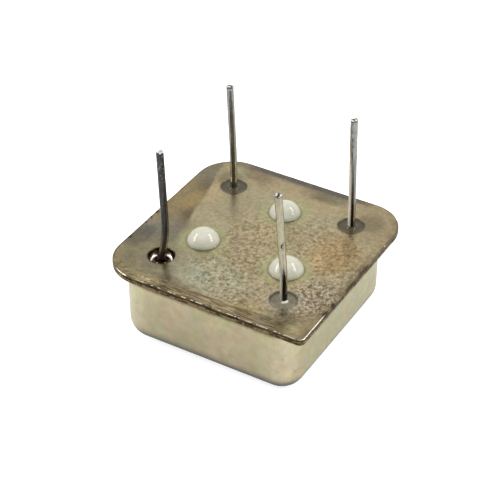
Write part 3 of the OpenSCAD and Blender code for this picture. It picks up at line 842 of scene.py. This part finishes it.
def weld_cord():
    """Ovals carried round the seam. Their size is a thin line plus clipped noise, and their reach past
    the flange's outline is held to a hundredth of a millimetre or so."""
    ring = rounded_rings(FLANGE_HALF - WELD_IN, FLANGE_CORNERS - WELD_IN, CAN_TOP, WELD_PER_SIDE)[0]
    wider = rounded_rings(FLANGE_HALF, FLANGE_CORNERS, CAN_TOP, WELD_PER_SIDE)[0]
    outwards = (wider - ring) / np.linalg.norm(wider - ring, axis=1, keepdims=True)
    lumps = np.clip(ripple(ring[:, 0], ring[:, 1], 1.1, 31) / 0.45, 0, 1)
    drops = np.clip(ripple(ring[:, 0], ring[:, 1], 0.32, 32) / 0.5 + 0.1, 0, 1)
    size = CORD_THIN + CORD_DROPS * drops + CORD_LUMPS * lumps ** 2 * drops
    angle = np.linspace(0, 2 * np.pi, 11)[:, None, None]
    out = np.cos(angle) * np.minimum(size, WELD_IN + CORD_PAST)[:, None]
    rise = np.sin(angle) * size[:, None] * CORD_TALL
    return ring + out * outwards + rise * np.array([0, 0, 1])


def weld_scale():
    """Burnt metal from tan to brown, black in places."""
    material, shader, place, _ = start_finish("weld_scale", Metallic=0.8)
    burnt = grain(place, 2.6, 4.0, 0.7)
    colour = burnt.between(0.38, 0.62).tint((0.22, 0.155, 0.075), (0.06, 0.038, 0.016))
    colour = grain(place, 0.8, 3.0, 0.6).between(0.53, 0.60).tint(colour, (0.014, 0.010, 0.007))
    feed(shader, Base_Color=colour, Roughness=0.30 + burnt * 0.2, Normal=relief(burnt, 0.02, 0.6))
    return material


make_piece("weld_cord", [weld_cord()], weld_scale())

# %% [markdown]
# Three leads pass the plate through beads of glass, which keep them apart from the metal and keep air out.
# Molten glass wets what it touches, so its face sags between the hole and the wire and climbs both.
# A profile turned about the lead gives that bead, with a hole for the wire. A painted highlight sits
# where the glass climbs the front wire.

# %% Glass seals
LEAD_R = 0.21
RING = 48
WALL_CLIMB, WIRE_CLIMB = 6, 9


def turned(radius, z, centre, ring=RING):
    """A profile of radii and heights turned about an upright axis through a centre."""
    angle = np.linspace(0, 2 * np.pi, ring, endpoint=False)
    radius, z = np.asarray(radius, float)[:, None], np.asarray(z, float)[:, None]
    return np.stack([centre[0] + radius * np.cos(angle), centre[1] + radius * np.sin(angle),
                     np.broadcast_to(z, (len(radius), ring))], -1)


def bead(centre, wall_z, sag_z, lead_z):
    """Closed profile of a bead: up the hole, over a face that hangs between hole and wire, down the wire.
    Its three heights are taken from the plate's face."""
    share = np.linspace(0, 1, 24)
    radius = SEAT + (LEAD_R - SEAT) * share
    face = PLATE_TOP + sag_z + (wall_z - sag_z) * (1 - share) ** WALL_CLIMB
    face = face + (lead_z - sag_z) * share ** WIRE_CLIMB
    r = np.concatenate([[SEAT], radius, [LEAD_R, SEAT]])
    h = np.concatenate([[PLATFORM_LOW], face, [PLATFORM_LOW, PLATFORM_LOW]])
    return turned(r, h, centre)


def seal_glass():
    """Cloudy dark glass, paler at the front lead, with painted shade on its far side and a painted highlight
    where it climbs the front lead.
    """
    material, shader, place, (x, y, _) = start_finish(
        "seal_glass", IOR=1.5, Roughness=0.14, Specular_Tint=(1.0, 0.86, 0.58, 1.0))
    cloud = grain(place, 2.5, 3.0)
    dots = grain(place, 9.0, 3.0, 0.6).between(0.50, 0.66)
    front = patch(x, y, HOLES[2], (1.0, 1.0), 0.5)
    colour = cloud.between(0.3, 0.7).tint((0.090, 0.068, 0.022), (0.170, 0.132, 0.058))
    colour = (patch(x, y, HOLES[1], (1.0, 1.0), 0.5) * 0.6).tint(colour, (0.25, 0.215, 0.15))
    greyer = cloud.between(0.3, 0.7).tint((0.165, 0.153, 0.102), (0.225, 0.212, 0.152))
    colour = (front * 0.9).tint(colour, greyer)
    colour = (dots * 0.45).tint(colour, (0.07, 0.06, 0.04))
    for at in HOLES:
        far = frontward(x, y, at)
        # Painted shadow: a dark rim and a darker far half, where the hole's wall shades the glass.
        far_rim_shadow = abs(spread(x, y, at) - SEAT).between(0.18, 0.04) * far.between(0.25, -0.35)
        colour = (far_rim_shadow * 0.85).tint(colour, (0.028, 0.024, 0.016))
        colour = (far.between(0.35, -0.55) * 0.5).tint(colour, (0.04, 0.036, 0.024))
    # Painted highlight where the glass climbs the front wire.
    near = (x - LEAD_AT) * 0.80 - (y + LEAD_AT) * 0.60
    foot_highlight = spread(x, y, HOLES[2]).between(0.30, 0.25) * near.between(0.12, 0.20)
    colour = (foot_highlight * 0.95).tint(colour, (0.85, 0.82, 0.74))
    feed(shader, Base_Color=colour, Normal=relief(cloud, 0.01, 0.4))
    return material


glass = seal_glass()
for lead, sx, sy in (("enable", 1, -1), ("supply", 1, 1), ("output", -1, 1)):
    make_piece(f"glass_bead_{lead}", [bead((sx * LEAD_AT, sy * LEAD_AT), -0.05, -0.09, 0.05)],
               glass, [f"seal_{lead}"])

# %% [markdown]
# The fourth lead is joined to the plate itself, so its hole is filled with braze and not with glass.
# The braze lies low and leaves a hollow round the wire. It is dark, partly burnt braze and partly painted
# shade of the hollow, with two crescents of painted reflection where it curves up to the hole's wall.

# %% Braze
def braze():
    """Dark and burnt, darkened further as painted shade of the hollow, with two crescents of painted
    reflection on the far half.
    """
    material, shader, place, (x, y, _) = start_finish("braze", Metallic=1.0)
    cloud = grain(place, 3.0, 4.0, 0.65)
    near = frontward(x, y, HOLES[0])
    across = (y - HOLES[0][1]) * FRONT_WAY[0] - (x - HOLES[0][0]) * FRONT_WAY[1]
    # Painted reflection: two bright crescents on the far half; the dark base is partly painted shade.
    ring = abs(spread(x, y, HOLES[0]) - 0.57).between(0.065, 0.025)
    bright = ring * near.between(0.06, -0.10) * abs(across).between(0.24, 0.32)
    colour = cloud.between(0.35, 0.65).tint((0.040, 0.024, 0.014), (0.10, 0.068, 0.040))
    colour = (bright * 0.95).tint(colour, (0.90, 0.83, 0.76))
    feed(shader, Base_Color=colour, Roughness=0.12 + cloud * 0.10, Normal=relief(cloud, 0.02, 0.4))
    return material


make_piece("ground_fillet", [bead((-LEAD_AT, -LEAD_AT), -0.16, -0.41, -0.2)],
           braze(), ["ground_braze"])

# %% [markdown]
# The leads are plain round wire that someone has bent and cut. Each is a circle carried along a path:
# the path is the running sum of a direction that turns at the bends. Side cutters leave a low roof
# with a ridge across the wire, so the last rings sink to both sides of that ridge, and the end closes on it.

# %% Lead paths
LEAD_LOW, LEAD_STEP = 2.95, 0.04
GENTLE, TIGHT, RETURN = 16.0, 0.6, 8.0
ROOF, CUT_LENGTH = 0.12, 0.20
WIRE_RING, END_ROWS = 28, 6
WIRE_SHARE, WIRE_RIPPLE = 0.98, 0.03
NICK_TALL, NICK_WIDE = 0.11, 0.35
CUT_FLARE, CUT_PINCH = 0.04, 0.10


def lead_path(corner, bends, top):
    """Points and directions of a wire from its inner end. A bend (height, angle, radius, heading) adds
    its angle evenly over its length; the points are the running sum of the direction."""
    s = np.arange(0, top - LEAD_LOW + 0.6, LEAD_STEP)
    lean = np.zeros((len(s), 2))
    for start, angle, radius, heading in bends:
        turn = np.radians(angle) * np.clip((s - start + LEAD_LOW) / (radius * np.radians(angle)), 0, 1)
        lean += turn[:, None] * np.array([math.cos(math.radians(heading)), math.sin(math.radians(heading))])
    size = np.linalg.norm(lean, axis=1)
    way = np.concatenate([lean * np.sinc(size / np.pi)[:, None], np.cos(size)[:, None]], 1)
    points = np.cumsum(way, 0) * LEAD_STEP
    points = points - points[0] + (corner[0] * LEAD_AT, corner[1] * LEAD_AT, LEAD_LOW)
    keep = points[:, 2] <= top
    return points[keep], way[keep]


def lead_tube(path, way, seed, ridge, nick=None):
    """A circle carried along the path, rippled a little. Towards the end each ring sinks by its distance
    from the ridge line times the roof's slope, and the last rings close on that line. Also gives, for each
    point, the cosine and sine of its side counted from the front, and its distance from the cut:
    below 0 on the cut's face."""
    angle = np.linspace(0, 2 * np.pi, WIRE_RING, endpoint=False)
    s = np.arange(len(path)) * LEAD_STEP
    uneven = ripple(s[:, None] + 0 * angle, LEAD_R * angle + 0 * s[:, None], 0.5, seed)
    radius = LEAD_R * (WIRE_SHARE - WIRE_RIPPLE * uneven)
    if nick:
        at, face, deep = nick
        aside = np.angle(np.exp(1j * (angle + ridge - face)))
        radius -= deep * np.exp(-(((s - at) / NICK_TALL) ** 2)[:, None] - (aside / NICK_WIDE) ** 2)
    cut = np.clip(1 - (s[-1] - s) / CUT_LENGTH, 0, 1)[:, None]
    along = radius * np.cos(angle) * (1 + CUT_FLARE * cut ** 3)
    across = radius * np.sin(angle) * (1 - CUT_PINCH * cut ** 2)
    share = np.concatenate([np.ones(len(s)), np.linspace(1, 0, END_ROWS)[1:]])[:, None]
    rows = np.minimum(np.arange(len(share)), len(s) - 1)
    mirrored = along[:, -np.arange(len(angle))]
    along = (along[rows] * (1 + share) + mirrored[rows] * (1 - share)) / 2
    across, cut = across[rows] * share, cut[rows]
    side_u = np.stack([way[:, 2], 0 * s, -way[:, 0]], -1)
    side_u /= np.linalg.norm(side_u, axis=1, keepdims=True)
    side_v = np.cross(way, side_u)
    ridge_way = (side_u * math.cos(ridge) + side_v * math.sin(ridge))[rows, None]
    cross_way = (side_v * math.cos(ridge) - side_u * math.sin(ridge))[rows, None]
    sink = ROOF * abs(across) * cut
    tube = (path[rows, None] + along[..., None] * ridge_way + across[..., None] * cross_way
            - sink[..., None] * way[rows, None])
    heading = angle + ridge - math.atan2(FRONT_WAY[1], FRONT_WAY[0])
    to_cut = (s[-1] - s)[rows, None] - (1 - share) * LEAD_R
    facing = np.stack(np.broadcast_arrays(np.cos(heading), np.sin(heading), to_cut), -1)
    ends = [np.repeat(path[:1, None], len(angle), 1), np.repeat(facing[:1, :1], len(angle), 1)]
    return np.concatenate([ends[0], tube]), np.concatenate([ends[1], facing])


print("wire step", LEAD_STEP, "mm")

# %% [markdown]
# Tinned wire is bright where it was drawn and dull where it has been handled or heated. One recipe serves
# all four leads: streaks along the wire, blots, painted shade on the flanks, a foot darkened by grime and
# painted shade, flecks below the tip and bare metal on the cut. Some leads add a dark stripe of painted
# reflection and a painted highlight on the left flank.

# %% Lead finish and leads
def lead_metal(name, bright, dull, rough, foot_height, grime_and_shade, shadow=None, spot=None, flank_highlight=None):
    """Streaked tin from dull to bright, with painted shade on its flanks, and grime with painted shade on its
    foot up to a height in mm (foot_height). shadow is a dark stripe of painted reflection (side, half width,
    height) that narrows upwards, over a greyer lower part of painted shade; spot a dark place in a nick; and
    flank_highlight a pale, less metallic film (height, tone) on the left side: a painted highlight."""
    material, shader, place, (_, _, z) = start_finish(name, Metallic=1.0)
    facing = place.node("Attribute", out="Vector", attribute_name="facing")
    front, right, to_cut = (place.node("SeparateXYZ", {0: facing}, out=i) for i in range(3))
    streak = grain(place, 9.0, 3.0, 0.6, stretch=(1, 1, 0.12))
    blot = grain(place, 3.2, 4.0, 0.7)
    colour = streak.between(0.35, 0.65).tint(dull, bright)
    colour = (blot.between(0.50, 0.70) * 0.45).tint(colour, [c * 0.5 for c in dull])
    # Painted shade on the flanks of the wire.
    colour = (abs(right).between(0.72, 0.95) * 0.7).tint(colour, (sum(dull) * 0.22,) * 3)
    up = z - PLATE_TOP
    # Grime and painted shade darken the foot.
    foot = (up + (blot - 0.5) * 0.8).between(foot_height, 0.0)
    colour = (foot * 0.8).tint(colour, grime_and_shade)
    if shadow:
        side, half, tall = shadow
        # Painted shade: greyer low down, and a dark stripe of painted reflection that narrows upwards.
        colour = (up.between(tall * 1.1, tall * 0.5) * 0.75).tint(colour, (0.24, 0.235, 0.21))
        reach = (up + (streak - 0.5) * 0.4).between(tall, 0.0)
        stripe = (abs(right - side) - reach * half).between(0.12, -0.06) * front.between(-0.1, 0.1)
        colour = (stripe * reach.between(0.0, 0.12) * 0.88).tint(colour, (0.030, 0.026, 0.018))
    pits = grain(place, 8.0, 2.0).between(0.58, 0.66) * up.between(4.2, 5.8)
    colour = (pits * 0.75).tint(colour, [c * 0.5 + 0.25 for c in bright])
    if spot:
        away = place.node("VectorMath", {0: place, 1: spot}, operation="SUBTRACT")
        away = place.node("VectorMath", {0: away, 1: (1, 1, 0.5)}, operation="MULTIPLY")
        near = place.node("VectorMath", {0: away}, out="Value", operation="LENGTH")
        colour = near.between(0.10, 0.07).tint(colour, (0.015, 0.013, 0.010))
    chips = grain(place, 6.5, 1.0).between(0.47, 0.53)
    colour = to_cut.between(0.02, -0.02).tint(colour, chips.tint((0.07, 0.066, 0.06), (0.95, 0.94, 0.91)))
    colour = (abs(to_cut - 0.02).between(0.07, 0.02) * 0.8).tint(colour, (0.05, 0.047, 0.04))
    if flank_highlight:
        tall, tone = flank_highlight
        # Painted highlight: a pale, less metallic film on the left flank.
        film = right.between(-0.20, -0.45) * front.between(-0.3, 0.0)
        film = film * (up + (blot - 0.5)).between(tall, tall * 0.5)
        colour = (film * 0.9).tint(colour, tone)
        feed(shader, Metallic=1 - film * 0.85)
    height = streak * 0.6 + blot * 0.4
    feed(shader, Base_Color=colour, Roughness=rough + blot * 0.12, Normal=relief(height, 0.012, 0.5))
    return material


NICK_SIDE = math.radians(-45)
NICK_AT = (3.83, -4.09, 8.88)
GREY_TIN = (0.35, 0.348, 0.328), (0.24, 0.238, 0.225), 0.13
bright_tin = lead_metal(
    "lead_tin_bright", (0.47, 0.435, 0.31), (0.335, 0.305, 0.212), 0.10, 0.3, (0.12, 0.10, 0.07),
    shadow=(0.22, 0.85, 2.5), spot=NICK_AT, flank_highlight=(3.4, (0.40, 0.39, 0.35)))
grey_tin = lead_metal("lead_tin", *GREY_TIN, 0.7, (0.26, 0.23, 0.18))
pale_tin = lead_metal("lead_tin_pale", *GREY_TIN, 1.6, (0.50, 0.42, 0.345),
                      shadow=(0.15, 0.37, 5.0), flank_highlight=(5.5, (0.68, 0.64, 0.58)))
dull_tin = lead_metal(
    "lead_tin_dull", (0.080, 0.079, 0.073), (0.045, 0.044, 0.040), 0.26, 2.2, (0.25, 0.205, 0.16))
# Each lead: corner, bends, height of its tip, finish, heading of the cut's ridge in degrees, nick
LEADS = {
    "enable": ((1, -1), [(6.3, 3.5, GENTLE, 210)], 11.945, bright_tin, -20, (5.93, NICK_SIDE, 0.05)),
    "supply": ((1, 1), [(6.1, 3.5, GENTLE, 130)], 12.045, pale_tin, 75, None),
    "output": ((-1, 1), [(7.2, 2.0, GENTLE, 210)], 11.99, grey_tin, 30, None),
    "ground": ((-1, -1), [(5.1, 12.0, TIGHT, 30), (5.676, 13.5, RETURN, 210)], 11.99, dull_tin, 100, None),
}
for seed, (lead, (corner, bends, top, finish, ridge, nick)) in enumerate(LEADS.items()):
    path, way = lead_path(corner, bends, top)
    tube, facing = lead_tube(path, way, seed, math.radians(ridge), nick)
    make_piece(f"wire_{lead}", [tube], finish, [f"lead_{lead}"], facing)
    print("  tip at", path[-1].round(2), "mm")

# %% [markdown]
# Three domes of opal glass hold the part off its board, so that flux can be washed from under it.
# Molten glass draws itself round, so each is the cap of a ball. No two came out the same,
# so each has its own place, radius and height.

# %% Glass domes
DOME_SUNK, DOME_SHARE, DOME_WANDER = 0.05, 0.995, 0.01


def dome(centre, radius, rise, seed):
    """Cap of a ball turned about its axis, let a little into the plate; its radius wanders by about
    a hundredth, as a melted drop does."""
    ball = (radius ** 2 + rise ** 2) / (2 * rise)
    tilt = np.linspace(0, math.acos((ball - rise) / ball), 28)
    out = np.concatenate([ball * np.sin(tilt), [radius, 0]])
    height = np.concatenate([ball * np.cos(tilt) - ball + rise, [-DOME_SUNK, -DOME_SUNK]])
    cap = turned(out, PLATE_TOP + height, centre, 64)
    flat = cap[..., :2] - centre
    wander = DOME_WANDER * ripple(flat[..., 0], flat[..., 1], 1.6, seed)
    cap[..., :2] = centre + flat * (DOME_SHARE + wander)[..., None]
    return cap


def standoff_glass():
    """Milky glass with a few pores and a foot darkened with painted shade."""
    material, shader, place, (_, _, z) = start_finish(
        "standoff_glass", IOR=1.52, Roughness=0.05, Subsurface_Weight=0.15, Subsurface_Scale=0.0003)
    cloud = grain(place, 1.6, 3.0)
    pores = grain(place, 13.0, 2.0).between(0.66, 0.74)
    colour = cloud.between(0.3, 0.7).tint((0.575, 0.575, 0.455), (0.64, 0.63, 0.525))
    colour = (pores * 0.30).tint(colour, (0.45, 0.43, 0.33))
    # Painted shade round the dome's foot.
    foot = z.between(PLATE_TOP + 0.22, PLATE_TOP + 0.01)
    colour = (foot * 0.45).tint(colour, (0.30, 0.29, 0.19))
    feed(shader, Base_Color=colour, Normal=relief(cloud, 0.01, 0.25))
    return material


opal = standoff_glass()
for seed, (where, (at, radius, rise)) in enumerate(DOMES.items()):
    make_piece(f"dome_{where}", [dome(at, radius, rise, seed + 20)],
               opal, [f"standoff_{where}"])

# %% [markdown]
# Inside the sealed can sit the circuit and the crystal. Nobody sees them until the can is cut open, and plain
# solids are enough for them, so they keep the CAD's meshes and only get finishes:
# ceramic, silicon, solder, quartz, spring strip.

# %% Inside finishes
def inside_finish(name, dark, light, per_mm, **constants):
    """Two tones mixed by noise of a scale, with a matching fine relief."""
    material, shader, place, _ = start_finish(name, **constants)
    cloud = grain(place, per_mm, 4.0, 0.6)
    fine = grain(place, per_mm * 6, 2.0)
    colour = cloud.between(0.35, 0.65).tint(dark, light)
    colour = (fine.between(0.60, 0.72) * 0.3).tint(colour, [c * 0.6 for c in dark])
    rough = constants["Roughness"] + cloud * 0.12
    feed(shader, Base_Color=colour, Roughness=rough, Normal=relief(fine, 0.006, 0.4))
    return material


INSIDE = {
    ("substrate",): inside_finish("alumina", (0.76, 0.75, 0.70), (0.85, 0.84, 0.80), 1.5, Roughness=0.50),
    ("solder_joints", "capacitor_caps"): inside_finish(
        "solder", (0.42, 0.42, 0.41), (0.62, 0.62, 0.60), 3.0, Metallic=1.0, Roughness=0.25),
    ("oscillator_chip",): inside_finish(
        "silicon", (0.07, 0.075, 0.10), (0.13, 0.14, 0.18), 6.0, Roughness=0.12),
    ("bypass_capacitor",): inside_finish(
        "capacitor_ceramic", (0.40, 0.28, 0.17), (0.52, 0.39, 0.26), 4.0, Roughness=0.40),
    ("crystal_blank",): inside_finish(
        "quartz", (0.78, 0.83, 0.84), (0.88, 0.91, 0.92), 0.8,
        Roughness=0.10, Transmission_Weight=0.5, IOR=1.54),
    ("clip_left", "clip_right"): inside_finish(
        "spring_strip", (0.55, 0.47, 0.33), (0.68, 0.60, 0.45), 2.0, Metallic=1.0, Roughness=0.28),
    ("chip_bond", "cement_left", "cement_right"): inside_finish(
        "silver_cement", (0.44, 0.44, 0.43), (0.60, 0.60, 0.58), 5.0, Metallic=0.6, Roughness=0.45),
}
for nodes, finish in INSIDE.items():
    for node in nodes:
        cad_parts[node].material_slots[0].material = finish
print("inside pieces dressed:", sum(len(nodes) for nodes in INSIDE))
